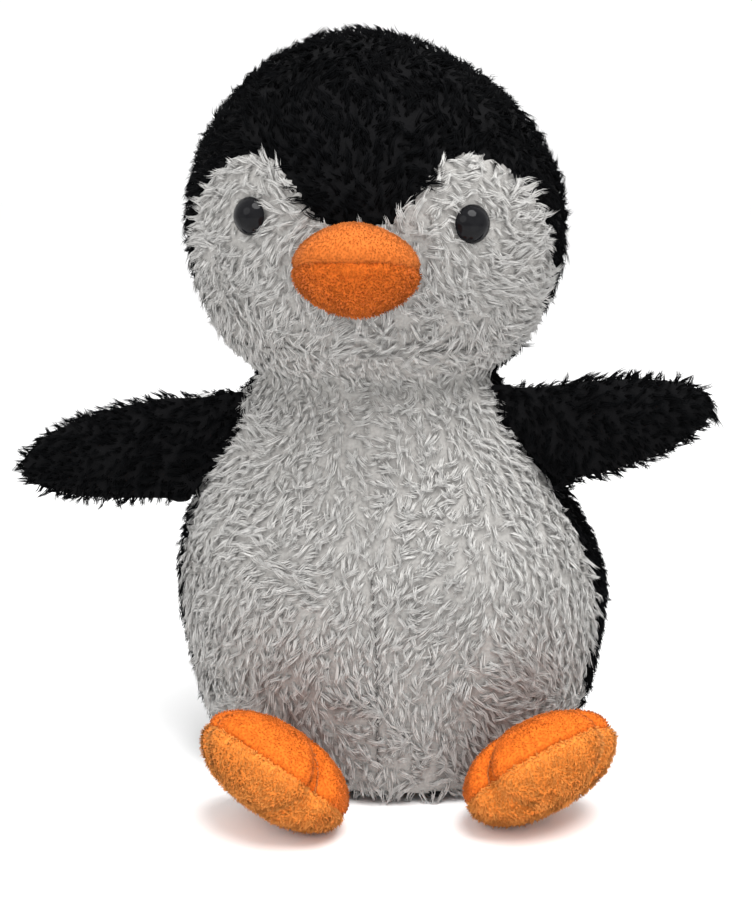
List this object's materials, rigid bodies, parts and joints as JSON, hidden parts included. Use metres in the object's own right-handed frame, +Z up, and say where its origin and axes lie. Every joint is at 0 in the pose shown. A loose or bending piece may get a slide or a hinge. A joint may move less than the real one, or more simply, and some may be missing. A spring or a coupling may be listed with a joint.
{
  "type": "plush penguin",
  "caption": "Sitting stuffed toy penguin with sewn pile-fabric panels, stuffed beak, flippers and feet, and glossy domed eyes.",
  "frame": {"origin": "middle of the flat underside of the base panel", "axes": "+Z up through the crown, -Y out of the face and belly, +X toward the toy's own left flipper"},
  "size_m": [0.2386, 0.1557, 0.2525],
  "materials": {
    "white_plush": "long curly pile",
    "black_plush": "long curly pile",
    "orange_smooth": "short smooth pile",
    "orange_curly": "short curly pile",
    "stuffing": "polyester fibre",
    "pouch_cloth": "thin woven cloth",
    "beans": "small plastic beans",
    "eye_plastic": "polished",
    "washer_plastic": "moulded",
    "white_thread": "twisted thread",
    "black_thread": "twisted thread",
    "orange_thread": "twisted thread"
  },
  "bodies": {
    "torso": {"base_panel": "black_plush", "belly_left": "white_plush", "belly_right": "white_plush", "back_left": "black_plush", "back_right": "black_plush", "torso_stuffing": "stuffing", "bean_pouch": "pouch_cloth", "bean_fill": "beans", "belly_thread": "white_thread"},
    "neck": {"neck_stuffing": "stuffing", "neck_thread": "black_thread"},
    "head": {"face_left": "white_plush", "face_right": "white_plush", "cap_left": "black_plush", "cap_right": "black_plush", "head_stuffing": "stuffing", "eye_left": "eye_plastic", "eye_right": "eye_plastic", "eye_washer_left": "washer_plastic", "eye_washer_right": "washer_plastic", "beak_upper": "orange_smooth", "beak_lower": "orange_curly", "beak_stuffing": "stuffing"},
    "wing_left": {"wing_left_front": "black_plush", "wing_left_back": "black_plush", "wing_left_stuffing": "stuffing"},
    "wing_right": {"wing_right_front": "black_plush", "wing_right_back": "black_plush", "wing_right_stuffing": "stuffing"},
    "foot_left": {"foot_left_top": "orange_smooth", "foot_left_sole": "orange_curly", "foot_left_stuffing": "stuffing", "foot_left_thread_inner": "orange_thread", "foot_left_thread_outer": "orange_thread"},
    "foot_right": {"foot_right_top": "orange_smooth", "foot_right_sole": "orange_curly", "foot_right_stuffing": "stuffing", "foot_right_thread_inner": "orange_thread", "foot_right_thread_outer": "orange_thread"}
  },
  "joints": [
    {"name": "head_turn", "type": "hinge", "parent": "torso", "child": "neck", "pos_m": [-0.006, 0, 0.13712], "axis": [0, 0, 1], "range_deg": [-25, 25], "stiffness_Nm_per_rad": 0.6},
    {"name": "head_nod", "type": "hinge", "parent": "neck", "child": "head", "pos_m": [-0.006, 0, 0.13712], "axis": [1, 0, 0], "range_deg": [-10, 10], "stiffness_Nm_per_rad": 0.6},
    {"name": "wing_left_swing", "type": "hinge", "parent": "torso", "child": "wing_left", "pos_m": [0.05422, -0.01379, 0.11689], "axis": [0.4854, -0.0853, -0.8701], "range_deg": [-35, 50], "stiffness_Nm_per_rad": 0.15},
    {"name": "wing_right_swing", "type": "hinge", "parent": "torso", "child": "wing_right", "pos_m": [-0.06606, -0.01409, 0.11249], "axis": [0.4104, 0.0929, 0.9072], "range_deg": [-35, 50], "stiffness_Nm_per_rad": 0.15},
    {"name": "foot_left_tilt", "type": "hinge", "parent": "torso", "child": "foot_left", "pos_m": [0.0502, -0.05235, 0.01546], "axis": [-0.9848, -0.1736, 0], "range_deg": [-10, 35], "stiffness_Nm_per_rad": 0.25},
    {"name": "foot_right_tilt", "type": "hinge", "parent": "torso", "child": "foot_right", "pos_m": [-0.02821, -0.0636, 0.01546], "axis": [-0.9848, 0.1736, 0], "range_deg": [-10, 35], "stiffness_Nm_per_rad": 0.25}
  ]
}
